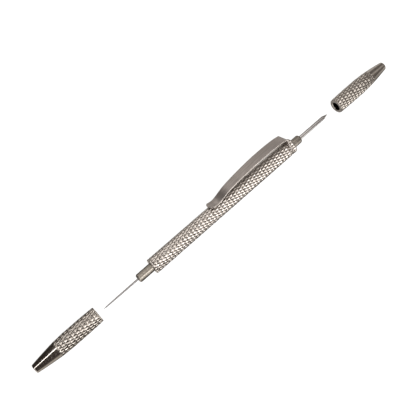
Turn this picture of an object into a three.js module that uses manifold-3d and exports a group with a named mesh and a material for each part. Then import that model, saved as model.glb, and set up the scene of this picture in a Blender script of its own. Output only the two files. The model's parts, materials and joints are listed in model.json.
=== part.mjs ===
// Double-ended pocket scriber, shown open: both caps are off and stand in line beyond their points.
//
// Frame, in millimetres: +X is the fine needle's end, -X is the stout point's end, and +Z is up. The
// tool lies as it does on a bench: rolled over towards -Y until the pocket clip touches the surface
// beside it. X = 0 is the middle of the body, Y = 0 is the middle of the whole width, and Z = 0 is the
// surface that the two caps and the clip lie on.
//
// Every piece is drawn round the tool's own axis, with its own x running from the needle's end (front)
// to the stout point's end (rear) and the clip straight up. scriber() then lays the whole tool down.

import * as THREE from 'three';
import { mergeVertices } from 'three/addons/utils/BufferGeometryUtils.js';
import Module from 'manifold-3d';

const wasm = await Module();
wasm.setup();

// ---------------------------------------------------------------- driving dimensions

const SIDES = 24;                 // facets round every turned piece
const BODY_LENGTH = 85.8;         // barrel, clip eye and knurled flange together
const BODY_R = 3.66;
const BORE_R = 2.35;              // the barrel's bore
const EDGE = 0.2;                 // small chamfer on turned edges
const FACE_GAP = 0.05;            // between faces that touch on the real tool
const FIT_GAP = 0.04;             // between a shank and its bore

const NOSE_R = 2.0;
const FRONT_NOSE_LENGTH = 8.0;
const FRONT_NOSE_CHAMFER = 0.45;
const REAR_NOSE_LENGTH = 5.3;
const REAR_NOSE_ROUND = 0.9;
const ROUND_STEPS = 4;            // flats that make up the rounded end
const SHANK_LENGTH = 12.0;        // threaded length of a plug inside the barrel
const FLANGE_LENGTH = 2.5;

const NEEDLE_R = 0.40;
const NEEDLE_REACH = 19.0;        // from the nose's end to the tip
const NEEDLE_HOLE_R = 0.8;        // clearance hole through the front nose
const NEEDLE_TAIL_DEPTH = 17.0;   // the tail's end, behind the nose's end
// The needle's taper behind its tip: [share of its reach, share of its radius].
const NEEDLE_TAPER = [[0.04, 0.56], [0.3, 0.75], [1.0, 1.0]];
const FERRULE_R = 1.5;
const FERRULE_LENGTH = 6.0;

const POINT_R = 0.9;
const POINT_REACH = 18.7;
const POINT_CONE_LENGTH = 3.0;
const POINT_TAIL_DEPTH = 14.0;
const TIP_R = 0.04;               // a tip is a very small flat

const CAP_LENGTH = 33.4;
const CAP_MOUTH_R = 3.62;
const CAP_BULGE_R = 3.81;
const CAP_BULGE_START = 8.0;
const CAP_BULGE_END = 16.0;
const CAP_TAPER_START = 20.8;     // the knurl ends and the polished taper begins
const CAP_TAPER_R = 3.6;
const CAP_TAPER_CONTROL_R = 2.98; // sets how convex the taper is
const CAP_TAPER_STEPS = 6;
const CAP_END_R = 2.0;
const CAP_BORE_R = 2.1;           // slides over the noses
const CAP_BORE_DEPTH = 10.0;
const CAP_COUNTERSINK = 0.2;
const POINT_BORE_R = 1.3;         // narrower bore further in, clear of the points
const POINT_BORE_DEPTH = 28.5;
const DRILL_POINT = 0.75;         // cone at the bottom of the drilled bore
const CAP_TRAVEL = 30.0;          // from pulled off, as drawn, to pushed home

const CLIP_THICKNESS = 0.5;
const CLIP_ROOT_HALF_WIDTH = 3.15;
const CLIP_FOOT_HALF_WIDTH = 2.5;
const CLIP_NARROWS_FROM_X = 24.0;
const CLIP_ARCH_HEIGHT = 7.8;
const CLIP_LIP_ROUND = 1.6;       // length of the lip's round end
const CLIP_BREAK_GAP = 0.1;       // between the eye's leg and the sprung arm
const CLIP_LINE_STEPS = 40;
const CLIP_LIP_SEGMENTS = 8;
// The arm's top surface from its root to the end of its lip: [x, height above the tool's axis].
const CLIP_TOP_LINE = [
  [40.2, 6.8],
  [36.4, 7.45],
  [26.0, CLIP_ARCH_HEIGHT],
  [14.0, 7.25],
  [4.0, 6.1],
  [-3.7, 4.3],
  [-7.7, 5.15],
];

// ---------------------------------------------------------------- derived places

const AXIS_Z = CAP_BULGE_R * Math.cos(Math.PI / SIDES);   // the caps lie on a facet
const FRONT_FACE = -BODY_LENGTH / 2;
const REAR_FACE = BODY_LENGTH / 2;
const FLANGE_FACE = REAR_FACE - FLANGE_LENGTH;
const EYE_FRONT = FLANGE_FACE - FACE_GAP - CLIP_THICKNESS;
const BARREL_REAR = EYE_FRONT - FACE_GAP;
const SHANK_R = BORE_R - FIT_GAP;
const FRONT_NOSE_TIP = FRONT_FACE - FRONT_NOSE_LENGTH;
const REAR_NOSE_TIP = REAR_FACE + REAR_NOSE_LENGTH;
const NEEDLE_TAIL = FRONT_NOSE_TIP + NEEDLE_TAIL_DEPTH;
const CAP_OFFSET = REAR_FACE + CAP_TRAVEL + FACE_GAP;
// The clip's roll about the axis, away from straight up, that brings the arch's edge to the surface.
const CLIP_REACH = Math.hypot(CLIP_ARCH_HEIGHT, CLIP_ROOT_HALF_WIDTH);
const CLIP_ROLL = Math.acos(-AXIS_Z / CLIP_REACH) - Math.atan(CLIP_ROOT_HALF_WIDTH / CLIP_ARCH_HEIGHT);
const CLIP_BLOCK_SIZE = 3 * BODY_R;   // the blocks that the arm is cut from reach past it

// ---------------------------------------------------------------- materials

function metal(colour, roughness) {
  return new THREE.MeshStandardMaterial({ color: colour, roughness, metalness: 1.0 });
}

const nickel = metal(0xb4ada6, 0.28);
const springSteel = metal(0x8f8883, 0.42);
const hardenedSteel = metal(0xc4c2c0, 0.22);
const brass = metal(0xb59a55, 0.35);

// ---------------------------------------------------------------- geometry helpers

// Turns a profile of [x, radius] points round the X axis. The profile starts and ends on the axis,
// or it closes on itself. It runs towards +X along its outside, and towards -X along any bore.
function turned(profile) {
  const points = profile.map(([x, radius]) => new THREE.Vector2(radius, x));
  const geometry = new THREE.LatheGeometry(points, SIDES, -Math.PI / SIDES);
  geometry.rotateZ(-Math.PI / 2);
  return geometry;
}

// A turned piece with a bore right through it.
function turnedTube(outside, bore) {
  return turned([...outside, ...bore, outside[0]]);
}

function toSolid(geometry) {
  const bare = geometry.clone();
  bare.deleteAttribute('normal');
  bare.deleteAttribute('uv');
  const merged = mergeVertices(bare);
  return new wasm.Manifold(new wasm.Mesh({
    numProp: 3,
    vertProperties: new Float32Array(merged.attributes.position.array),
    triVerts: new Uint32Array(merged.index.array),
  }));
}

function toGeometry(solid) {
  const mesh = solid.getMesh();
  const geometry = new THREE.BufferGeometry();
  geometry.setAttribute('position', new THREE.BufferAttribute(mesh.vertProperties, 3));
  geometry.setIndex(new THREE.BufferAttribute(mesh.triVerts, 1));
  geometry.computeVertexNormals();
  return geometry;
}

function piece(name, geometry, material) {
  const mesh = new THREE.Mesh(geometry, material);
  mesh.name = name;
  return mesh;
}

// ---------------------------------------------------------------- body

function barrel() {
  const outside = [
    [FRONT_FACE, BODY_R - EDGE],
    [FRONT_FACE + EDGE, BODY_R],
    [BARREL_REAR - EDGE, BODY_R],
    [BARREL_REAR, BODY_R - EDGE],
  ];
  const bore = [
    [BARREL_REAR, BORE_R],
    [FRONT_FACE, BORE_R],
  ];
  return piece('barrel', turnedTube(outside, bore), nickel);
}

// A smooth nose in front of the barrel and a threaded shank inside it. The needle's clearance hole
// opens at the back into a wider one that holds the ferrule.
function frontPlug() {
  const back = FRONT_FACE + SHANK_LENGTH;
  const ferruleSeat = NEEDLE_TAIL - FERRULE_LENGTH - FACE_GAP;
  const ferruleHoleR = FERRULE_R + FIT_GAP;
  const outside = [
    [FRONT_NOSE_TIP, NOSE_R - FRONT_NOSE_CHAMFER],
    [FRONT_NOSE_TIP + FRONT_NOSE_CHAMFER, NOSE_R],
    [FRONT_FACE, NOSE_R],
    [FRONT_FACE, SHANK_R],
    [back, SHANK_R],
  ];
  const bore = [
    [back, ferruleHoleR],
    [ferruleSeat, ferruleHoleR],
    [ferruleSeat, NEEDLE_HOLE_R],
    [FRONT_NOSE_TIP, NEEDLE_HOLE_R],
  ];
  return piece('front_plug', turnedTube(outside, bore), nickel);
}

// A smooth nose with a rounded end, the flange that ends the body, and a threaded shank.
function rearPlug() {
  const shankEnd = FLANGE_FACE - SHANK_LENGTH;
  const holeR = POINT_R + FIT_GAP;
  const outside = [
    [shankEnd, SHANK_R],
    [FLANGE_FACE, SHANK_R],
    [FLANGE_FACE, BODY_R - EDGE],
    [FLANGE_FACE + EDGE, BODY_R],
    [REAR_FACE - EDGE, BODY_R],
    [REAR_FACE, BODY_R - EDGE],
    [REAR_FACE, NOSE_R],
    ...quarterRound(REAR_NOSE_TIP, NOSE_R, REAR_NOSE_ROUND),
  ];
  const bore = [
    [REAR_NOSE_TIP, holeR],
    [shankEnd, holeR],
  ];
  return piece('rear_plug', turnedTube(outside, bore), nickel);
}

// Profile points of a rounded edge, from the side at this radius to the end face at endX.
function quarterRound(endX, radius, round) {
  const points = [];
  for (let i = 0; i <= ROUND_STEPS; i += 1) {
    const angle = (i / ROUND_STEPS) * (Math.PI / 2);
    const x = endX - round * (1 - Math.sin(angle));
    points.push([x, radius - round * (1 - Math.cos(angle))]);
  }
  return points;
}

// ---------------------------------------------------------------- points

// A slender needle that tapers all the way from the nose, fastest near its tip.
function fineNeedle() {
  const tip = FRONT_NOSE_TIP - NEEDLE_REACH;
  const taper = NEEDLE_TAPER.map(([reach, radius]) => {
    return [tip + reach * NEEDLE_REACH, radius * NEEDLE_R];
  });
  const profile = [
    [tip, 0],
    [tip, TIP_R],
    ...taper,
    [NEEDLE_TAIL, NEEDLE_R],
    [NEEDLE_TAIL, 0],
  ];
  return piece('fine_needle', turned(profile), hardenedSteel);
}

// The bush on the needle's tail, which holds it in the middle of the front plug.
function needleFerrule() {
  const front = NEEDLE_TAIL - FERRULE_LENGTH;
  const holeR = NEEDLE_R + FIT_GAP;
  const outside = [
    [front, FERRULE_R],
    [NEEDLE_TAIL, FERRULE_R],
  ];
  const bore = [
    [NEEDLE_TAIL, holeR],
    [front, holeR],
  ];
  return piece('needle_ferrule', turnedTube(outside, bore), brass);
}

function stoutPoint() {
  const tail = REAR_NOSE_TIP - POINT_TAIL_DEPTH;
  const tip = REAR_NOSE_TIP + POINT_REACH;
  const profile = [
    [tail, 0],
    [tail, POINT_R],
    [tip - POINT_CONE_LENGTH, POINT_R],
    [tip, TIP_R],
    [tip, 0],
  ];
  return piece('stout_point', turned(profile), hardenedSteel);
}

// ---------------------------------------------------------------- pocket clip

// The clip's eye and upright leg: half round below, square above, and pierced for the rear plug's
// shank. The leg stops just under the arm.
function clipEye() {
  const legTop = CLIP_TOP_LINE[0][1] - CLIP_THICKNESS - CLIP_BREAK_GAP;
  const outline = new THREE.Shape();
  outline.absarc(0, 0, CLIP_ROOT_HALF_WIDTH, Math.PI, 2 * Math.PI, false);
  outline.lineTo(CLIP_ROOT_HALF_WIDTH, legTop);
  outline.lineTo(-CLIP_ROOT_HALF_WIDTH, legTop);
  const hole = new THREE.Path();
  hole.absarc(0, 0, BORE_R + FIT_GAP, 0, 2 * Math.PI, true);
  outline.holes.push(hole);
  const geometry = new THREE.ExtrudeGeometry(outline, {
    depth: CLIP_THICKNESS,
    bevelEnabled: false,
    curveSegments: SIDES / 2,
  });
  geometry.rotateX(Math.PI / 2);
  geometry.rotateZ(Math.PI / 2);
  const eye = piece('clip_eye', geometry, springSteel);
  eye.position.x = EYE_FRONT;
  return eye;
}

// The sprung arm is what its side outline and its plan outline have in common.
function clipArm() {
  const side = toSolid(clipSideBlock());
  const plan = toSolid(clipPlanBlock());
  return piece('clip_arm', toGeometry(side.intersect(plan)), springSteel);
}

// The strip seen from the side: the top line, and the same line one thickness lower.
function clipSideBlock() {
  const knots = CLIP_TOP_LINE.map(([x, height]) => new THREE.Vector3(x, height, 0));
  const curve = new THREE.CatmullRomCurve3(knots, false, 'centripetal');
  const top = curve.getSpacedPoints(CLIP_LINE_STEPS).map((point) => [point.x, point.y]);
  const outline = new THREE.Shape();
  outline.moveTo(...top[0]);
  for (const point of top.slice(1)) {
    outline.lineTo(...point);
  }
  for (const point of lineBelow(top, CLIP_THICKNESS).reverse()) {
    outline.lineTo(...point);
  }
  const block = new THREE.ExtrudeGeometry(outline, { depth: CLIP_BLOCK_SIZE, bevelEnabled: false });
  block.rotateX(Math.PI / 2);
  block.translate(0, CLIP_BLOCK_SIZE / 2, 0);
  return block;
}

// A line that runs towards -X, moved down square to itself.
function lineBelow(line, distance) {
  return line.map(([x, height], i) => {
    const [x0, height0] = line[Math.max(i - 1, 0)];
    const [x1, height1] = line[Math.min(i + 1, line.length - 1)];
    const length = Math.hypot(x1 - x0, height1 - height0);
    const dropX = -distance * (height1 - height0) / length;
    const dropHeight = distance * (x1 - x0) / length;
    return [x + dropX, height + dropHeight];
  });
}

// The strip seen from above: parallel at its root, narrowing to the lip's half-round end.
function clipPlanBlock() {
  const rootX = REAR_FACE;
  const lipX = CLIP_TOP_LINE[CLIP_TOP_LINE.length - 1][0] + CLIP_LIP_ROUND;
  const outline = new THREE.Shape();
  outline.moveTo(rootX, CLIP_ROOT_HALF_WIDTH);
  outline.lineTo(CLIP_NARROWS_FROM_X, CLIP_ROOT_HALF_WIDTH);
  outline.absellipse(lipX, 0, CLIP_LIP_ROUND, CLIP_FOOT_HALF_WIDTH, Math.PI / 2, 1.5 * Math.PI);
  outline.lineTo(CLIP_NARROWS_FROM_X, -CLIP_ROOT_HALF_WIDTH);
  outline.lineTo(rootX, -CLIP_ROOT_HALF_WIDTH);
  return new THREE.ExtrudeGeometry(outline, {
    depth: CLIP_BLOCK_SIZE,
    bevelEnabled: false,
    curveSegments: CLIP_LIP_SEGMENTS,
  });
}

// ---------------------------------------------------------------- caps

// A cap with its mouth at x = 0 and its closed end towards +X.
function capGeometry() {
  const taper = new THREE.QuadraticBezierCurve(
    new THREE.Vector2(CAP_TAPER_START, CAP_TAPER_R),
    new THREE.Vector2((CAP_TAPER_START + CAP_LENGTH) / 2, CAP_TAPER_CONTROL_R),
    new THREE.Vector2(CAP_LENGTH, CAP_END_R),
  );
  const bore = [
    [POINT_BORE_DEPTH + DRILL_POINT, 0],
    [POINT_BORE_DEPTH, POINT_BORE_R],
    [CAP_BORE_DEPTH, POINT_BORE_R],
    [CAP_BORE_DEPTH, CAP_BORE_R],
    [CAP_COUNTERSINK, CAP_BORE_R],
    [0, CAP_BORE_R + CAP_COUNTERSINK],
  ];
  const outside = [
    [0, CAP_MOUTH_R - EDGE],
    [EDGE, CAP_MOUTH_R],
    [CAP_BULGE_START, CAP_BULGE_R],
    [CAP_BULGE_END, CAP_BULGE_R],
    ...taper.getPoints(CAP_TAPER_STEPS).map((point) => [point.x, point.y]),
    [CAP_LENGTH, 0],
  ];
  return turned([...bore, ...outside]);
}

function frontCap() {
  const cap = piece('front_cap', capGeometry(), nickel);
  cap.rotation.z = Math.PI;
  cap.position.x = -CAP_OFFSET;
  return cap;
}

function rearCap() {
  const cap = piece('rear_cap', capGeometry(), nickel);
  cap.position.x = CAP_OFFSET;
  return cap;
}

// ---------------------------------------------------------------- assembly

function pocketClip() {
  const clip = new THREE.Group();
  clip.rotation.x = -CLIP_ROLL;
  clip.add(clipEye(), clipArm());
  return clip;
}

function scriber() {
  const group = new THREE.Group();
  group.add(barrel(), frontPlug(), rearPlug());
  group.add(fineNeedle(), needleFerrule(), stoutPoint());
  group.add(pocketClip());
  group.add(frontCap(), rearCap());
  group.rotation.z = Math.PI;
  const box = new THREE.Box3().setFromObject(group, true);
  group.position.set(0, -(box.min.y + box.max.y) / 2, AXIS_Z);
  return group;
}

export default scriber();
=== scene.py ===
"""Looks of a double-ended pocket scriber: knurled and polished nickel, a satin clip and steel points.

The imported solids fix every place. Each visible piece is built here again with its knurling, rounded
edges and turned surfaces, in the tool's own coordinates: millimetres, x from the middle of the body
towards the stout point (the rear), and the pocket clip straight up. lay_down() then puts it where the
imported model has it.
"""

import json
import math

import bpy
import bmesh
import numpy as np
from mathutils import Matrix, Vector


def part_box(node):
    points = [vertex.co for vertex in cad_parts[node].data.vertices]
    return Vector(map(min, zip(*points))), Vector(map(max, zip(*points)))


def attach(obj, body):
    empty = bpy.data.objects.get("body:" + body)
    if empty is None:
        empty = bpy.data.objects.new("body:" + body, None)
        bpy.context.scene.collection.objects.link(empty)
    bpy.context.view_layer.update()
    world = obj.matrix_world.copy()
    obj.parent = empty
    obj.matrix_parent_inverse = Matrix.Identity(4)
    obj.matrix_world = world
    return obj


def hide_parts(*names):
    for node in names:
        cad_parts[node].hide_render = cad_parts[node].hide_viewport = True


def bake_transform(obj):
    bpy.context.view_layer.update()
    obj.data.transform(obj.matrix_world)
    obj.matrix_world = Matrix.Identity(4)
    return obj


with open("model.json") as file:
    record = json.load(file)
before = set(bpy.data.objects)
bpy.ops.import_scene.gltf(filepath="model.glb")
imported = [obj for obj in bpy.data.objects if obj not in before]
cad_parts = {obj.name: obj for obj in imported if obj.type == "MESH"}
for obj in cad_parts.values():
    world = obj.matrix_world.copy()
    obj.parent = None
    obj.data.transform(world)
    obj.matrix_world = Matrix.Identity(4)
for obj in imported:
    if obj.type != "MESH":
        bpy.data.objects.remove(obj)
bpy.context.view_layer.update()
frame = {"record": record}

MM = 0.001

# ---------------------------------------------------------------- dimensions, in millimetres

BODY_FRONT = -42.9
BODY_REAR = 42.9
BARREL_REAR = 39.8
BODY_R = 3.66
BORE_R = 2.35
EDGE = 0.2                     # chamfer at the end faces of the knurled pieces
CLEARANCE = 0.04               # between a piece and the hole that it sits in
SHANK_R = 2.31
SHANK_LENGTH = 12.0

BARREL_PITCH = 3.62            # length of one diamond of the knurl along the axis
CAP_PITCH = 3.85
BARREL_STARTS = 16             # diamonds round the piece
CAP_STARTS = 17
KNURL_DEPTH = 0.20
KNURL_FADE = 0.6               # length over which a cap's grooves run out
GROOVE_SHARE = 0.30            # half of a groove's width, as a share of the pitch
PAD_CROWN = 1.2                # 1 for grooves with flat sides, more for hollow ones
PAD_UNEVEN = 0.02              # the diamonds' difference in height
PAD_TILT = 0.05                # the diamonds' difference in slope, end to end

NOSE_R = 2.0
FRONT_NOSE_LENGTH = 8.0
FRONT_NOSE_CHAMFER = 0.45
NOSE_CORNER = 0.04             # rounding of the chamfer's two corners
# A fine undercut where the front nose meets the barrel: [distance from the barrel, depth].
UNDERCUT = [[0.3, 0], [0.25, 0.06], [0.02, 0.06]]
REAR_NOSE_LENGTH = 5.3
REAR_NOSE_ROUND = 0.9
REAR_NOSE_DISH = 0.05          # hollow of the end face round the stout point
FLANGE_FACE = 40.4

NEEDLE_R = 0.40
NEEDLE_TIP_SHARE = 0.45        # the needle's radius next to its tip, as a share of NEEDLE_R
NEEDLE_REACH = 19.0
NEEDLE_HOLE_R = 0.8
NEEDLE_HOLE_EDGE = 0.1
NEEDLE_TAIL_DEPTH = 17.0
FERRULE_R = 1.5
FERRULE_LENGTH = 6.0
FERRULE_CHAMFER = 0.15
FERRULE_GAP = 0.05
POINT_R = 0.9
POINT_REACH = 18.7
POINT_CONE_LENGTH = 3.0
POINT_TAIL_DEPTH = 14.0
POINT_TAIL_CHAMFER = 0.1
TIP_R = 0.03

CAP_MOUTH = 72.95              # the mouth's distance from the middle of the body
CAP_LENGTH = 33.4
CAP_TAPER_START = 20.8
CAP_TAPER_R = 3.6
CAP_TAPER_CONTROL_R = 2.98
CAP_END_R = 2.0
CAP_END_ROUND = 0.6
CAP_BORE_R = 2.1
CAP_BORE_DEPTH = 10.0
POINT_BORE_R = 1.3
POINT_BORE_DEPTH = 28.5
DRILL_CONE = 0.75              # depth of the cone at the bore's end
MOUTH_CHAMFER = 0.2
DARK_FROM = 0.25               # distance from the mouth where the bore's painted shade starts
# Radius as far as the taper: [distance from the mouth, radius].
CAP_CRESTS = [[0, 3.62], [2, 3.71], [8, 3.81], [16, 3.81], [CAP_TAPER_START, CAP_TAPER_R]]
FRONT_KNURL_END = 21.2         # the rear cap's knurl runs further on to its taper
REAR_KNURL_END = 23.6

CLIP_THICKNESS = 0.5
CLIP_ROOT_HALF_WIDTH = 3.15
CLIP_FOOT_HALF_WIDTH = 2.5
CLIP_NARROWS_FROM_X = 24.0
CLIP_LIP_ROUND = 1.6
CLIP_LEG_X = 40.1
CLIP_BEND_R = 0.5
CLIP_BEND_GAP = 0.1            # between the arch's last point and the bend's first
CLIP_EDGE = 0.08               # rounding of the strip's long edges
CLIP_CORNER_SHARE = 0.9        # most of the half width that this rounding takes
CLIP_LEAST_HALF_WIDTH = 0.02   # where the round ends of the strip close
# The arch's outer line, from the bend to the lip: [x, height above the axis].
CLIP_TOP_LINE = [[40.2, 6.8], [36.4, 7.45], [26.0, 7.8], [14.0, 7.25], [4.0, 6.1],
                 [-3.7, 4.3], [-7.7, 5.15]]

# ---------------------------------------------------------------- fineness of the meshes

KNURL_STEPS = 8                # columns across one diamond
PLUG_SIDES = 96
POINT_SIDES = 64
NEEDLE_SIDES = 48
NEEDLE_STEPS = 12
TAPER_STEPS = 25
NOSE_ROUND_STEPS = 8
CAP_ROUND_STEPS = 6
CLIP_ARCH_STEPS = 14           # between two points of CLIP_TOP_LINE
CLIP_BEND_STEPS = 8
CLIP_LEG_STEPS = 8
CLIP_EYE_STEPS = 24
CLIP_FLAT_STEPS = 8            # columns across the strip
CLIP_CORNER_STEPS = 4
SMALL = 1e-6                   # keeps rounding from moving a point to the diamond before its own

BARREL_SEED = 3
FLANGE_SEED = 5
FRONT_CAP_SEED = 7
REAR_CAP_SEED = 11


# ---------------------------------------------------------------- places

def tool_matrix():
    """The tool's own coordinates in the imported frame, read from the barrel's box and the clip's hinge."""
    low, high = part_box("barrel")
    joints = frame["record"]["behaviour"]["joints"]
    hinge = next(joint for joint in joints if joint["name"] == "clip_flex")
    along = Vector((-1.0, 0.0, 0.0))
    side = Vector(hinge["axis"]).normalized()
    up = along.cross(side)
    place = Matrix((along, side, up)).transposed().to_4x4()
    place.translation = (0.0, (low[1] + high[1]) / 2, (low[2] + high[2]) / 2)
    return place


TOOL = tool_matrix()


def lay_down(mesh):
    """Puts a mesh drawn in the tool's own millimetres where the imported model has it."""
    mesh.transform(TOOL @ Matrix.Scale(MM, 4))


# ---------------------------------------------------------------- turned surfaces

def mesh_object(name, points, faces):
    mesh = bpy.data.meshes.new(name)
    mesh.from_pydata(points, [], faces)
    work = bmesh.new()
    work.from_mesh(mesh)
    bmesh.ops.recalc_face_normals(work, faces=work.faces)
    work.to_mesh(mesh)
    work.free()
    piece = bpy.data.objects.new(name, mesh)
    bpy.context.scene.collection.objects.link(piece)
    return piece


def ring_faces(first, second, sides, shifted, closing):
    """Faces between two rings of vertices. A shifted ring lies half a column further round."""
    faces = []
    for i in range(sides):
        j = (i + 1) % sides
        if shifted == closing:
            faces.append((first + i, first + j, second + j, second + i))
        elif closing:
            faces.append((first + i, first + j, second + i))
            faces.append((second + i, first + j, second + j))
        else:
            faces.append((second + i, second + j, first + i))
            faces.append((first + i, second + j, first + j))
    return faces


def turned(name, rows, sides, tube=False):
    """One closed surface through rows of (x, radius, shift, painted shade), from pole to pole or as a tube.
    """
    points, faces, painted_shades, rings = [], [], [], []
    for x, radius, shift, painted_shade in rows:
        start = len(points)
        if np.isscalar(radius) and radius == 0:
            points.append((x, 0.0, 0.0))
            painted_shades.append(0.0)
            rings.append((start, True, 0))
            continue
        turn = (np.arange(sides) + 0.5 * shift) * (2 * math.pi / sides)
        radii = np.broadcast_to(radius, sides)
        points.extend(zip([x] * sides, radii * np.sin(turn), radii * np.cos(turn)))
        painted_shades.extend(np.broadcast_to(painted_shade, sides))
        rings.append((start, False, shift))
    pairs = list(zip(rings, rings[1:]))
    if tube:
        pairs.append((rings[-1], rings[0]))
    for (first, first_pole, shifted), (second, second_pole, closing) in pairs:
        if first_pole or second_pole:
            pole, ring = (first, second) if first_pole else (second, first)
            faces.extend((pole, ring + i, ring + (i + 1) % sides) for i in range(sides))
        else:
            faces.extend(ring_faces(first, second, sides, shifted, closing))
    piece = mesh_object(name, points, faces)
    # Painted shade: how dark each point of the grooves and bores is painted, from 0 to 1.
    attribute = piece.data.attributes.new("painted_shade", "FLOAT", "POINT")
    attribute.data.foreach_set("value", np.array(painted_shades, dtype=np.float32))
    return piece


def profile_rows(points, painted_shade=0.0):
    """Rows for a plain turned profile. Inside a bore the last value is 1, which paints the bore dark as
    shade.
    """
    return [(x, radius, 0, painted_shade) for x, radius in points]


def finish_mesh(piece, sharp_degrees=40):
    lay_down(piece.data)
    piece.data.shade_smooth()
    piece.data.set_sharp_from_angle(angle=math.radians(sharp_degrees))
    return piece


# ---------------------------------------------------------------- knurling

def knurl_rows(start, end, crest, starts, pitch, seed, fade=0.0):
    """Rows of a diamond knurl between two places, with crest(x) the radius over its diamonds.

    The rows are staggered, so that mesh edges run along both hands of grooves. The grooves get
    shallower over the last stretch, of length fade.
    """
    sides = starts * KNURL_STEPS
    step = pitch / (2 * KNURL_STEPS)
    count = round((end - start) / step)
    table = np.random.RandomState(seed).uniform(-1, 1, (2, 4 * count, starts))
    rows = []
    for j in range(count + 1):
        x = start + (end - start) * j / count
        shift = j % 2
        u = (np.arange(sides) + 0.5 * shift) / KNURL_STEPS
        v = j / (2 * KNURL_STEPS)
        one, other = u + v, u - v
        depth = np.maximum(groove_depth(one), groove_depth(other))
        along = np.floor(one + SMALL) - np.floor(other + SMALL)
        around = np.floor(one + SMALL).astype(int) % starts
        lift = table[0, along.astype(int), around]
        tilt = table[1, along.astype(int), around] * (2 * v - along)
        pad = np.clip(1 - depth, 0, 1)
        relief = KNURL_DEPTH * depth - pad * (PAD_UNEVEN * lift + PAD_TILT * tilt)
        left = min(1.0, max(0.0, (end - x) / fade)) if fade else 1.0
        # The last value paints shade into the grooves: the deeper, the darker.
        rows.append((x, crest(x) - left * relief, shift, np.clip(left * depth, 0, 1)))
    return rows


def groove_depth(across):
    """Depth of one hand of grooves, from 1 on its lines to 0 at the diamonds' edges."""
    nearest = np.abs(across - np.round(across))
    return np.clip(1 - nearest / GROOVE_SHARE, 0, 1) ** PAD_CROWN


def chamfered(rows, crest, ends):
    """Rows cut back by a small chamfer at the given end faces, where the knurl's radius is crest."""
    cut = []
    for x, radius, shift, painted_shade in rows:
        limit = crest - EDGE + min(abs(x - end) for end in ends)
        cut.append((x, np.minimum(radius, limit), shift, painted_shade))
    return cut


# ---------------------------------------------------------------- body

def body_knurl(start, end, seed):
    rows = knurl_rows(start, end, lambda x: BODY_R, BARREL_STARTS, BARREL_PITCH, seed)
    return chamfered(rows, BODY_R, (start, end))


def barrel():
    rows = body_knurl(BODY_FRONT, BARREL_REAR, BARREL_SEED)
    # The bore is painted dark as shade.
    bore = profile_rows([[BARREL_REAR, BORE_R + EDGE], [BARREL_REAR - EDGE, BORE_R],
                         [BODY_FRONT + EDGE, BORE_R], [BODY_FRONT, BORE_R + EDGE]], painted_shade=1.0)
    sides = BARREL_STARTS * KNURL_STEPS
    return finish_mesh(turned("barrel_knurled", rows + bore, sides, tube=True))


def front_plug():
    tip = BODY_FRONT - FRONT_NOSE_LENGTH
    back = BODY_FRONT + SHANK_LENGTH
    tail = tip + NEEDLE_TAIL_DEPTH
    seat = tail - FERRULE_LENGTH - FERRULE_GAP
    seat_r = FERRULE_R + CLEARANCE
    chamfer_r = NOSE_R - FRONT_NOSE_CHAMFER
    chamfer_end = tip + FRONT_NOSE_CHAMFER
    outside = [[tip, chamfer_r - NOSE_CORNER], [tip + NOSE_CORNER, chamfer_r],
               [chamfer_end, NOSE_R - NOSE_CORNER], [chamfer_end + 1.5 * NOSE_CORNER, NOSE_R]]
    outside += [[BODY_FRONT - distance, NOSE_R - depth] for distance, depth in UNDERCUT]
    outside += [[BODY_FRONT, SHANK_R], [back, SHANK_R]]
    bore = [[back, seat_r], [seat, seat_r], [seat, NEEDLE_HOLE_R],
            [tip + NEEDLE_HOLE_EDGE, NEEDLE_HOLE_R], [tip, NEEDLE_HOLE_R + NEEDLE_HOLE_EDGE]]
    # The needle's hole and the ferrule's seat are painted dark as shade.
    rows = profile_rows(outside) + profile_rows(bore, painted_shade=1.0)
    return finish_mesh(turned("front_plug_turned", rows, PLUG_SIDES, tube=True), sharp_degrees=30)


def rear_plug():
    tip = BODY_REAR + REAR_NOSE_LENGTH
    shank_end = FLANGE_FACE - SHANK_LENGTH
    hole_r = POINT_R + CLEARANCE
    rows = profile_rows([[shank_end, SHANK_R], [FLANGE_FACE, SHANK_R]])
    rows += body_knurl(FLANGE_FACE, BODY_REAR, FLANGE_SEED)
    rows += profile_rows([[BODY_REAR, NOSE_R], [tip - REAR_NOSE_ROUND, NOSE_R]])
    rows += profile_rows(rounded_end(tip, NOSE_R, REAR_NOSE_ROUND, NOSE_ROUND_STEPS))
    rows += profile_rows([[tip - REAR_NOSE_DISH, hole_r], [shank_end, hole_r]])
    piece = turned("rear_plug_turned", rows, BARREL_STARTS * KNURL_STEPS, tube=True)
    for face in piece.data.polygons:
        on_flange = FLANGE_FACE < face.center.x < BODY_REAR
        face.material_index = int(on_flange)      # the flange has the barrel's finish
    return finish_mesh(piece)


def rounded_end(end, radius, round_r, steps):
    """Profile of a quarter round, from the side at this radius to the end face."""
    turns = [(i + 1) / steps * math.pi / 2 for i in range(steps)]
    return [[end - round_r * (1 - math.sin(turn)), radius - round_r * (1 - math.cos(turn))]
            for turn in turns]


# ---------------------------------------------------------------- points

def fine_needle():
    nose = BODY_FRONT - FRONT_NOSE_LENGTH
    tip = nose - NEEDLE_REACH
    tail = nose + NEEDLE_TAIL_DEPTH
    rows = [[tip, 0], [tip, TIP_R]]
    for i in range(1, NEEDLE_STEPS + 1):
        reach = i / NEEDLE_STEPS
        share = NEEDLE_TIP_SHARE + (1 - NEEDLE_TIP_SHARE) * math.sqrt(reach)
        rows.append([tip + reach * NEEDLE_REACH, NEEDLE_R * share])
    rows += [[tail, NEEDLE_R], [tail, 0]]
    return finish_mesh(turned("fine_needle_ground", profile_rows(rows), NEEDLE_SIDES))


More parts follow.
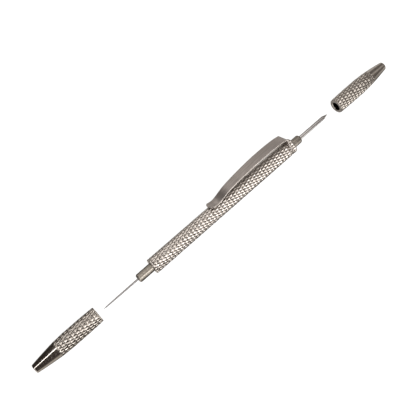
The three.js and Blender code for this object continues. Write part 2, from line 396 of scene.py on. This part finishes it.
def needle_ferrule():
    tail = BODY_FRONT - FRONT_NOSE_LENGTH + NEEDLE_TAIL_DEPTH
    front = tail - FERRULE_LENGTH
    end_r = FERRULE_R - FERRULE_CHAMFER
    hole_r = NEEDLE_R + CLEARANCE
    rows = [[front, end_r], [front + FERRULE_CHAMFER, FERRULE_R], [tail - FERRULE_CHAMFER, FERRULE_R],
            [tail, end_r], [tail, hole_r], [front, hole_r]]
    piece = turned("needle_ferrule_turned", profile_rows(rows), POINT_SIDES, tube=True)
    return finish_mesh(piece, sharp_degrees=30)


def stout_point():
    nose = BODY_REAR + REAR_NOSE_LENGTH
    tip = nose + POINT_REACH
    tail = nose - POINT_TAIL_DEPTH
    rows = [[tail, 0], [tail, POINT_R - POINT_TAIL_CHAMFER], [tail + POINT_TAIL_CHAMFER, POINT_R],
            [tip - POINT_CONE_LENGTH, POINT_R], [tip, TIP_R], [tip, 0]]
    return finish_mesh(turned("stout_point_ground", profile_rows(rows), POINT_SIDES), sharp_degrees=10)


# ---------------------------------------------------------------- caps

def cap_outline(x):
    """A cap's radius over its knurl, then on its taper, which is a quadratic curve."""
    if x <= CAP_TAPER_START:
        return float(np.interp(x, *zip(*CAP_CRESTS)))
    t = (x - CAP_TAPER_START) / (CAP_LENGTH - CAP_TAPER_START)
    return (1 - t) ** 2 * CAP_TAPER_R + 2 * t * (1 - t) * CAP_TAPER_CONTROL_R + t * t * CAP_END_R


def cap(name, front):
    """A cap drawn from its mouth, then put in front of the needle or behind the stout point."""
    seed = FRONT_CAP_SEED if front else REAR_CAP_SEED
    knurl_end = FRONT_KNURL_END if front else REAR_KNURL_END
    mouth_r = CAP_CRESTS[0][1]
    bore = [[POINT_BORE_DEPTH + DRILL_CONE, 0], [POINT_BORE_DEPTH, POINT_BORE_R],
            [CAP_BORE_DEPTH, POINT_BORE_R], [CAP_BORE_DEPTH, CAP_BORE_R], [DARK_FROM, CAP_BORE_R]]
    mouth = [[MOUTH_CHAMFER, CAP_BORE_R], [0, CAP_BORE_R + MOUTH_CHAMFER], [0, mouth_r - 2 * EDGE]]
    knurl = knurl_rows(0.0, knurl_end, cap_outline, CAP_STARTS, CAP_PITCH, seed, KNURL_FADE)
    places = np.linspace(knurl_end, CAP_LENGTH - CAP_END_ROUND, TAPER_STEPS + 1)[1:]
    taper = [[x, cap_outline(x)] for x in places]
    end = rounded_end(CAP_LENGTH, taper[-1][1], CAP_END_ROUND, CAP_ROUND_STEPS)
    # The bores are painted dark as shade.
    rows = profile_rows(bore, painted_shade=1.0) + profile_rows(mouth)
    rows += chamfered(knurl, mouth_r, (0.0,))
    rows += profile_rows(taper + end + [[CAP_LENGTH, 0]])
    piece = turned(name, rows, CAP_STARTS * KNURL_STEPS)
    turn = Matrix.Rotation(math.pi, 4, "Z") if front else Matrix.Identity(4)
    piece.data.transform(turn @ Matrix.Translation((CAP_MOUTH, 0, 0)))
    return finish_mesh(piece)


# ---------------------------------------------------------------- pocket clip

def catmull_rom(knots, steps):
    """Points on a centripetal Catmull-Rom curve through the knots."""
    knots = [Vector(knot) for knot in knots]
    padded = [2 * knots[0] - knots[1], *knots, 2 * knots[-1] - knots[-2]]
    points = []
    for group in zip(padded, padded[1:], padded[2:], padded[3:]):
        times = [0.0]
        for a, b in zip(group, group[1:]):
            times.append(times[-1] + math.sqrt((b - a).length))
        for i in range(steps):
            points.append(curve_point(group, times, times[1] + (times[2] - times[1]) * i / steps))
    return points + [knots[-1]]


def curve_point(group, times, t):
    """One point between the middle two of four knots, by blending neighbours three times over."""
    level = group
    for spans in (((0, 1), (1, 2), (2, 3)), ((0, 2), (1, 3)), ((1, 2),)):
        blended = []
        for i, (start, end) in enumerate(spans):
            share = (t - times[start]) / (times[end] - times[start])
            blended.append(level[i] * (1 - share) + level[i + 1] * share)
        level = blended
    return level[0]


def clip_path():
    """The strip's middle line, from its lip over the arch, round the bend and down the leg."""
    top = catmull_rom(CLIP_TOP_LINE[::-1], CLIP_ARCH_STEPS)
    middle = [point - above(top, i) * CLIP_THICKNESS / 2 for i, point in enumerate(top)]
    bend_x = CLIP_LEG_X - CLIP_BEND_R
    arch = [point for point in middle if point.x < bend_x - CLIP_BEND_GAP]
    heading = math.atan2(*(arch[-1] - arch[-2]).yx)
    centre = Vector((bend_x, arch[-1].y - CLIP_BEND_R * math.cos(heading)))
    bend = []
    for i in range(1, CLIP_BEND_STEPS + 1):
        turn = heading + (-math.pi / 2 - heading) * i / CLIP_BEND_STEPS
        bend.append(centre + CLIP_BEND_R * Vector((-math.sin(turn), math.cos(turn))))
    heights = np.linspace(bend[-1].y, 0, CLIP_LEG_STEPS)[1:]
    leg = [Vector((CLIP_LEG_X, height)) for height in heights]
    eye = []
    for i in range(1, CLIP_EYE_STEPS + 1):
        below = CLIP_ROOT_HALF_WIDTH * math.sin(math.pi / 2 * i / CLIP_EYE_STEPS)
        eye.append(Vector((CLIP_LEG_X, -below)))
    return arch + bend + leg + eye


def above(path, i):
    """Unit vector square to a path at one of its points, on the strip's outer side."""
    along = (path[min(i + 1, len(path) - 1)] - path[max(i - 1, 0)]).normalized()
    return Vector((-along.y, along.x))


def clip_half_width(point):
    """Half of the strip's width at a place on its path. The eye and the lip end in a round."""
    if point.y < 0:
        return math.sqrt(max(0.0, CLIP_ROOT_HALF_WIDTH ** 2 - point.y ** 2))
    full_width_x = CLIP_TOP_LINE[-1][0] + CLIP_LIP_ROUND
    share = (point.x - full_width_x) / (CLIP_NARROWS_FROM_X - full_width_x)
    share = min(1.0, max(0.0, share))
    width = CLIP_FOOT_HALF_WIDTH + share * (CLIP_ROOT_HALF_WIDTH - CLIP_FOOT_HALF_WIDTH)
    into_lip = min(1.0, (full_width_x - point.x) / CLIP_LIP_ROUND)
    return width * math.sqrt(max(0.0, 1 - into_lip ** 2)) if into_lip > 0 else width


def clip_section(half_width):
    """Outline of the strip across: (side, height) of a flat bar with rounded corners."""
    corner = min(CLIP_EDGE, half_width * CLIP_CORNER_SHARE)
    flat = half_width - corner
    upright = CLIP_THICKNESS / 2 - CLIP_EDGE
    top = [(flat * (2 * i / CLIP_FLAT_STEPS - 1), CLIP_THICKNESS / 2)
           for i in range(1, CLIP_FLAT_STEPS)]
    outline = list(top)
    for quarter, (side, height) in enumerate(((1, 1), (1, -1), (-1, -1), (-1, 1))):
        for i in range(CLIP_CORNER_STEPS + 1):
            turn = (quarter + i / CLIP_CORNER_STEPS) * math.pi / 2
            outline.append((side * flat + corner * math.sin(turn),
                            height * upright + CLIP_EDGE * math.cos(turn)))
        if quarter == 1:
            outline.extend((-across, -out) for across, out in top)
    return outline


def clip_strip():
    """The strip, swept along its path."""
    path = clip_path()
    points, rings = [], []
    for i, point in enumerate(path):
        outward = above(path, i)
        rings.append(len(points))
        for side, height in clip_section(max(clip_half_width(point), CLIP_LEAST_HALF_WIDTH)):
            place = point + outward * height
            points.append((place.x, side, place.y))
    count = rings[1] - rings[0]
    faces = [tuple(range(count)), tuple(range(rings[-1], rings[-1] + count))]
    for first, second in zip(rings, rings[1:]):
        faces.extend((first + i, first + (i + 1) % count, second + (i + 1) % count, second + i)
                     for i in range(count))
    return mesh_object("pocket_clip_strip", points, faces)


def pierce(piece, x, radius, depth):
    """Cuts a round hole along the tool's axis, as far as depth on either side of x."""
    outline = [[x - depth, 0], [x - depth, radius], [x + depth, radius], [x + depth, 0]]
    cutter = turned("cutter", profile_rows(outline), PLUG_SIDES)
    cut = piece.modifiers.new("hole", "BOOLEAN")
    cut.object = cutter
    cut.operation = "DIFFERENCE"
    cut.solver = "EXACT"
    bpy.context.view_layer.update()
    graph = bpy.context.evaluated_depsgraph_get()
    result = bpy.data.meshes.new_from_object(piece.evaluated_get(graph))
    piece.modifiers.clear()
    piece.data = result
    bpy.data.objects.remove(cutter)


def pocket_clip():
    piece = clip_strip()
    pierce(piece, CLIP_LEG_X, BORE_R + CLEARANCE, 2 * CLIP_THICKNESS)
    return finish_mesh(piece, sharp_degrees=38)


# ---------------------------------------------------------------- materials

# Nickel and brass: light and dark colour, colour of the painted shade in grooves and bores, least and most
# roughness.
TURNED_FINISHES = {
    "knurled_nickel": ((0.78, 0.75, 0.72), (0.66, 0.62, 0.58), (0.16, 0.13, 0.11), 0.15, 0.24),
    "cap_nickel": ((0.60, 0.57, 0.535), (0.48, 0.45, 0.415), (0.14, 0.115, 0.095), 0.13, 0.22),
    "turned_nickel": ((0.38, 0.355, 0.32), (0.31, 0.285, 0.25), (0.05, 0.04, 0.03), 0.28, 0.38),
    "turned_brass": ((0.74, 0.58, 0.30), (0.66, 0.50, 0.24), (0.3, 0.2, 0.1), 0.2, 0.3),
}
# Steel: light and dark colour, roughness.
SATIN_STRIP = ((0.56, 0.52, 0.50), (0.42, 0.39, 0.37), 0.34)
GROUND_STEEL = ((0.65, 0.64, 0.64), (0.53, 0.52, 0.52), 0.12)
NEEDLE_STEEL = ((0.30, 0.29, 0.29), (0.20, 0.19, 0.19), 0.25)

# Scales of the noises, per metre, and how they are stretched along the tool and across it.
MOTTLE_SCALE = 700
SCUFF_SCALE = 1800
TURNING_SCALE = 500
TURNING_STRETCH = (30, 0.6, 0.6)
GRAIN_SCALE = 2600
GRAIN_STRETCH = (0.03, 1, 1)
RING_SCALE = 900
RING_STRETCH = (12, 0.4, 0.4)
PAINTED_SHADE_FROM = 0.55               # depth in a groove, of 1, at which the painted shade starts


def new_material(name):
    material = bpy.data.materials.new(name)
    material.use_nodes = True
    nodes = material.node_tree.nodes
    return material, nodes, material.node_tree.links, nodes["Principled BSDF"]


def noise(nodes, links, scale, detail=3.0, stretch=(1, 1, 1)):
    """A noise that sticks to the piece, stretched along x, y or z."""
    place = nodes.new("ShaderNodeTexCoord")
    mapping = nodes.new("ShaderNodeMapping")
    mapping.inputs["Scale"].default_value = stretch
    texture = nodes.new("ShaderNodeTexNoise")
    texture.inputs["Scale"].default_value = scale
    texture.inputs["Detail"].default_value = detail
    links.new(place.outputs["Object"], mapping.inputs["Vector"])
    links.new(mapping.outputs["Vector"], texture.inputs["Vector"])
    return texture.outputs["Fac"]


def spread(nodes, links, value, low, high, start=0.3, end=0.7):
    """A value from start to end, taken to low to high."""
    node = nodes.new("ShaderNodeMapRange")
    node.inputs["From Min"].default_value = start
    node.inputs["From Max"].default_value = end
    node.inputs["To Min"].default_value = low
    node.inputs["To Max"].default_value = high
    links.new(value, node.inputs["Value"])
    return node.outputs["Result"]


def colour_inputs(mix):
    """The two colour sockets of a Mix node, which has sockets A and B for other types too."""
    return [socket for socket in mix.inputs if socket.type == "RGBA"]


def colour_output(mix):
    return next(socket for socket in mix.outputs if socket.type == "RGBA")


def mix_colour(nodes, links, factor, first, second):
    """A mix of two colours, each a colour or an output of another node."""
    node = nodes.new("ShaderNodeMix")
    node.data_type = "RGBA"
    links.new(factor, node.inputs["Factor"])
    for socket, colour in zip(colour_inputs(node), (first, second)):
        if isinstance(colour, tuple):
            socket.default_value = (*colour, 1.0)
        else:
            links.new(colour, socket)
    return colour_output(node)


def bump(nodes, links, shader, height, strength, distance):
    """Relief of this many metres on the shader's surface."""
    node = nodes.new("ShaderNodeBump")
    node.inputs["Strength"].default_value = strength
    node.inputs["Distance"].default_value = distance
    links.new(height, node.inputs["Height"])
    links.new(node.outputs["Normal"], shader.inputs["Normal"])


def nickel(name, light, dark, shade_colour, smooth, rough):
    """Nickel plate: soft mottling, fine turning lines, and painted shade that darkens the grooves and
    bores.
    """
    material, nodes, links, shader = new_material(name)
    shader.inputs["Metallic"].default_value = 1.0
    mottle = noise(nodes, links, MOTTLE_SCALE, detail=4.0)
    plate = mix_colour(nodes, links, spread(nodes, links, mottle, 0, 1), light, dark)
    # Painted shade: the grooves and bores are mixed towards a dark colour by their attribute.
    painted_shade = nodes.new("ShaderNodeAttribute")
    painted_shade.attribute_name = "painted_shade"
    deep = spread(nodes, links, painted_shade.outputs["Fac"], 0, 1, start=PAINTED_SHADE_FROM, end=1.0)
    links.new(mix_colour(nodes, links, deep, plate, shade_colour), shader.inputs["Base Color"])
    scuffs = noise(nodes, links, SCUFF_SCALE)
    links.new(spread(nodes, links, scuffs, smooth, rough), shader.inputs["Roughness"])
    lines = noise(nodes, links, TURNING_SCALE, detail=2.0, stretch=TURNING_STRETCH)
    bump(nodes, links, shader, lines, strength=0.06, distance=0.02 * MM)
    return material


def satin(name, light, dark, roughness):
    """Drawn strip: a fine grain along its length."""
    material, nodes, links, shader = new_material(name)
    shader.inputs["Metallic"].default_value = 1.0
    grain = noise(nodes, links, GRAIN_SCALE, detail=4.0, stretch=GRAIN_STRETCH)
    colour = mix_colour(nodes, links, spread(nodes, links, grain, 0, 1), light, dark)
    links.new(colour, shader.inputs["Base Color"])
    uneven = spread(nodes, links, grain, roughness - 0.06, roughness + 0.08)
    links.new(uneven, shader.inputs["Roughness"])
    bump(nodes, links, shader, grain, strength=0.25, distance=0.03 * MM)
    return material


def ground_steel(name, light, dark, roughness):
    """Ground steel: fine rings round the point."""
    material, nodes, links, shader = new_material(name)
    shader.inputs["Metallic"].default_value = 1.0
    rings = noise(nodes, links, RING_SCALE, stretch=RING_STRETCH)
    colour = mix_colour(nodes, links, spread(nodes, links, rings, 0, 1), light, dark)
    links.new(colour, shader.inputs["Base Color"])
    uneven = spread(nodes, links, rings, roughness - 0.05, roughness + 0.07)
    links.new(uneven, shader.inputs["Roughness"])
    bump(nodes, links, shader, rings, strength=0.2, distance=0.02 * MM)
    return material


def dress(piece, finishes, nodes, body):
    """Gives a piece its materials, hides the imported nodes that it stands for and puts it on the body it
    rides on, if one.
    """
    for material in finishes:
        piece.data.materials.append(material)
    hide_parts(*nodes)
    if body:
        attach(piece, body)


# ---------------------------------------------------------------- stage

CAMERA_AZIMUTH = 20.136        # degrees
CAMERA_ELEVATION = 44.555
CAMERA_ROLL = 124.65
CAMERA_DISTANCE = 0.28114      # metres
CAMERA_AIM = (0.007842, -0.002569, 0.003778)
CAMERA_CLIP = (0.01, 10.0)
CAMERA_LENS = 55.38            # millimetres
STAGE_R = 3.0                  # metres
FLOOR_GREY = 0.2
FLOOR_GLOW = 0.97
BACKDROP_GLOW = 1.0


def make_camera():
    data = bpy.data.cameras.new("camera")
    data.lens = CAMERA_LENS
    data.clip_start, data.clip_end = CAMERA_CLIP
    camera = bpy.data.objects.new("camera", data)
    turn = (Matrix.Rotation(math.radians(CAMERA_AZIMUTH), 4, "Z")
            @ Matrix.Rotation(math.radians(90 - CAMERA_ELEVATION), 4, "X")
            @ Matrix.Rotation(math.radians(CAMERA_ROLL), 4, "Z"))
    camera.matrix_world = (Matrix.Translation(CAMERA_AIM) @ turn
                           @ Matrix.Translation((0, 0, CAMERA_DISTANCE)))
    bpy.context.scene.collection.objects.link(camera)
    bpy.context.scene.camera = camera


def stage_piece(name, mesh, grey, glow):
    """Part of the pale surroundings that the camera sees. The metal reflects the soft boxes instead."""
    piece = bpy.data.objects.new(name, mesh)
    bpy.context.scene.collection.objects.link(piece)
    material, _, _, shader = new_material(name + "_paper")
    shader.inputs["Base Color"].default_value = (grey, grey, grey, 1)
    shader.inputs["Roughness"].default_value = 1.0
    shader.inputs["Specular IOR Level"].default_value = 0.0
    shader.inputs["Emission Color"].default_value = (1, 1, 1, 1)
    shader.inputs["Emission Strength"].default_value = glow
    mesh.materials.append(material)
    piece.visible_glossy = False
    return piece


def make_floor():
    mesh = bpy.data.meshes.new("floor")
    signs = ((-1, -1), (1, -1), (1, 1), (-1, 1))
    mesh.from_pydata([(x * STAGE_R, y * STAGE_R, 0) for x, y in signs], [], [(0, 1, 2, 3)])
    stage_piece("floor", mesh, FLOOR_GREY, FLOOR_GLOW)


def make_backdrop():
    """A pale dome round the floor, for the views that look past it. It lights nothing."""
    mesh = bpy.data.meshes.new("backdrop")
    work = bmesh.new()
    bmesh.ops.create_icosphere(work, subdivisions=4, radius=STAGE_R)
    work.to_mesh(mesh)
    work.free()
    backdrop = stage_piece("backdrop", mesh, 0.0, BACKDROP_GLOW)
    backdrop.visible_diffuse = False
    backdrop.visible_shadow = False


# The surroundings that the metal reflects. Directions are given by their angle round the tool, from the
# horizon at -Y up over the top, and by how far they lean towards +X, from -1 to 1.
# A dim sweep all round the tool: [degrees, colour].
SWEEP = [
    [-180, (0.13, 0.12, 0.11)],
    [-134, (0.11, 0.10, 0.095)],
    [-84, (0.08, 0.075, 0.07)],
    [-50, (0.03, 0.022, 0.018)],
    [105, (0.045, 0.032, 0.027)],
    [135, (0.12, 0.11, 0.10)],
    [180, (0.13, 0.12, 0.11)],
]
# Soft boxes: angle, half height in degrees, lean, half length, colour.
SOFT_BOXES = [
    (22, 6, 0.45, 0.55, (5.2, 5.1, 5.0)),          # a lamp seen as a line on the front cap's taper
    (40, 110, -0.14, 0.31, (0.72, 0.68, 0.64)),    # a large dim box over the body
    (80, 18, -0.10, 0.20, (4.2, 4.1, 4.0)),        # three boxes in a row, a bright band on the barrel
    (108, 20, -0.25, 0.16, (2.2, 2.12, 2.04)),
    (130, 24, -0.35, 0.14, (2.4, 2.32, 2.24)),
    (8, 28, -0.35, 0.13, (1.7, 1.62, 1.54)),       # the barrel's other bright side, near its rear end
    (-45, 26, -0.12, 0.24, (0.6, 0.57, 0.54)),     # the barrel's upper edge
    (50, 24, -0.42, 0.10, (0.6, 0.57, 0.54)),      # the core of the stout point
    (-60, 40, -0.48, 0.30, (0.37, 0.35, 0.33)),    # the pocket clip's arch
    (-85, 60, -0.80, 0.35, (0.26, 0.245, 0.23)),   # the pocket clip's root
    (20, 60, 0.08, 0.16, (0.48, 0.45, 0.42)),      # the front cap's knurl
    (158, 34, 0.33, 0.28, (0.5, 0.46, 0.41)),      # the underside of the front cap's taper
    (-136, 30, 0.26, 0.20, (0.9, 0.86, 0.78)),     # the rear cap's mouth
    (20, 130, -0.76, 0.24, (0.15, 0.14, 0.13)),    # the rear cap's taper
    (42, 26, -0.72, 0.20, (0.30, 0.28, 0.26)),
    (145, 35, -0.70, 0.30, (0.20, 0.185, 0.17)),
    (145, 60, 0.80, 0.38, (1.0, 0.96, 0.92)),      # boxes for the views from behind and from the ends
    (-140, 60, 0.80, 0.38, (0.8, 0.77, 0.74)),
    (60, 50, 0.88, 0.30, (0.8, 0.77, 0.74)),
    (150, 50, -0.90, 0.25, (0.8, 0.77, 0.74)),
    (-150, 50, -0.90, 0.25, (0.6, 0.58, 0.56)),
]
EDGE_SHARE = 0.6               # part of a soft box's size that its soft edge takes


def arithmetic(nodes, links, operation, first, second=None):
    """A sum on one or two values, each a number or an output of another node."""
    node = nodes.new("ShaderNodeMath")
    node.operation = operation
    for socket, value in zip(node.inputs, (first, second)):
        if isinstance(value, (int, float)):
            socket.default_value = value
        elif value is not None:
            links.new(value, socket)
    return node.outputs[0]


def soft_range(nodes, links, value, centre, half):
    """1 in the middle of a range, falling smoothly to 0 at its ends."""
    away = arithmetic(nodes, links, "ABSOLUTE", arithmetic(nodes, links, "SUBTRACT", value, centre))
    node = nodes.new("ShaderNodeMapRange")
    node.interpolation_type = "SMOOTHSTEP"
    node.inputs["From Min"].default_value = half
    node.inputs["From Max"].default_value = half * (1 - EDGE_SHARE)
    links.new(away, node.inputs["Value"])
    return node.outputs["Result"]


def make_world():
    """The sweep and the soft boxes, added up as light from far away."""
    world = bpy.data.worlds.new("studio")
    bpy.context.scene.world = world
    world.use_nodes = True
    nodes, links = world.node_tree.nodes, world.node_tree.links
    place = nodes.new("ShaderNodeTexCoord")
    split = nodes.new("ShaderNodeSeparateXYZ")
    links.new(place.outputs["Generated"], split.inputs["Vector"])
    toward = arithmetic(nodes, links, "MULTIPLY", split.outputs["Y"], -1.0)
    radians = arithmetic(nodes, links, "ARCTAN2", split.outputs["Z"], toward)
    degrees = arithmetic(nodes, links, "MULTIPLY", radians, 180 / math.pi)
    light = sweep_colour(nodes, links, degrees)
    for angle, height, lean, length, colour in SOFT_BOXES:
        across = soft_range(nodes, links, degrees, angle, height)
        along = soft_range(nodes, links, split.outputs["X"], lean, length)
        share = arithmetic(nodes, links, "MULTIPLY", across, along)
        box = mix_colour(nodes, links, share, (0.0, 0.0, 0.0), colour)
        light = added(nodes, links, light, box)
    links.new(light, nodes["Background"].inputs["Color"])


def added(nodes, links, first, second):
    """The sum of two colours."""
    node = nodes.new("ShaderNodeMix")
    node.data_type = "RGBA"
    node.blend_type = "ADD"
    node.inputs["Factor"].default_value = 1.0
    for socket, colour in zip(colour_inputs(node), (first, second)):
        links.new(colour, socket)
    return colour_output(node)


def sweep_colour(nodes, links, degrees):
    """The sweep's colour at an angle round the tool."""
    ramp = nodes.new("ShaderNodeValToRGB")
    links.new(spread(nodes, links, degrees, 0, 1, -180, 180), ramp.inputs["Fac"])
    stops = ramp.color_ramp.elements
    while len(stops) > 1:
        stops.remove(stops[-1])
    for i, (angle, colour) in enumerate(SWEEP):
        position = (angle + 180) / 360
        stop = stops[0] if i == 0 else stops.new(position)
        stop.position = position
        stop.color = (*colour, 1)
    return ramp.outputs["Color"]


# ---------------------------------------------------------------- assembly

def make_pieces():
    finish = {name: nickel(name, *look) for name, look in TURNED_FINISHES.items()}
    plate, cap_plate = finish["knurled_nickel"], finish["cap_nickel"]
    nose, brass = finish["turned_nickel"], finish["turned_brass"]
    spring = satin("satin_strip", *SATIN_STRIP)
    steel = ground_steel("ground_steel", *GROUND_STEEL)
    dark_steel = ground_steel("needle_steel", *NEEDLE_STEEL)
    dress(barrel(), [plate], ["barrel"], "body")
    dress(front_plug(), [nose], ["front_plug"], "body")
    dress(rear_plug(), [nose, plate], ["rear_plug"], "body")
    dress(fine_needle(), [dark_steel], ["fine_needle"], "body")
    dress(needle_ferrule(), [brass], ["needle_ferrule"], "body")
    dress(stout_point(), [steel], ["stout_point"], "body")
    dress(cap("front_cap_turned", True), [cap_plate], ["front_cap"], "front_cap")
    dress(cap("rear_cap_turned", False), [cap_plate], ["rear_cap"], "rear_cap")
    clip = pocket_clip()
    dress(clip, [spring], ["clip_arm", "clip_eye"], None)
    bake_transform(clip)


def make_studio():
    make_camera()
    make_floor()
    make_backdrop()
    make_world()
    view = bpy.context.scene.view_settings
    view.view_transform = "Standard"
    view.look = "None"


make_pieces()
make_studio()
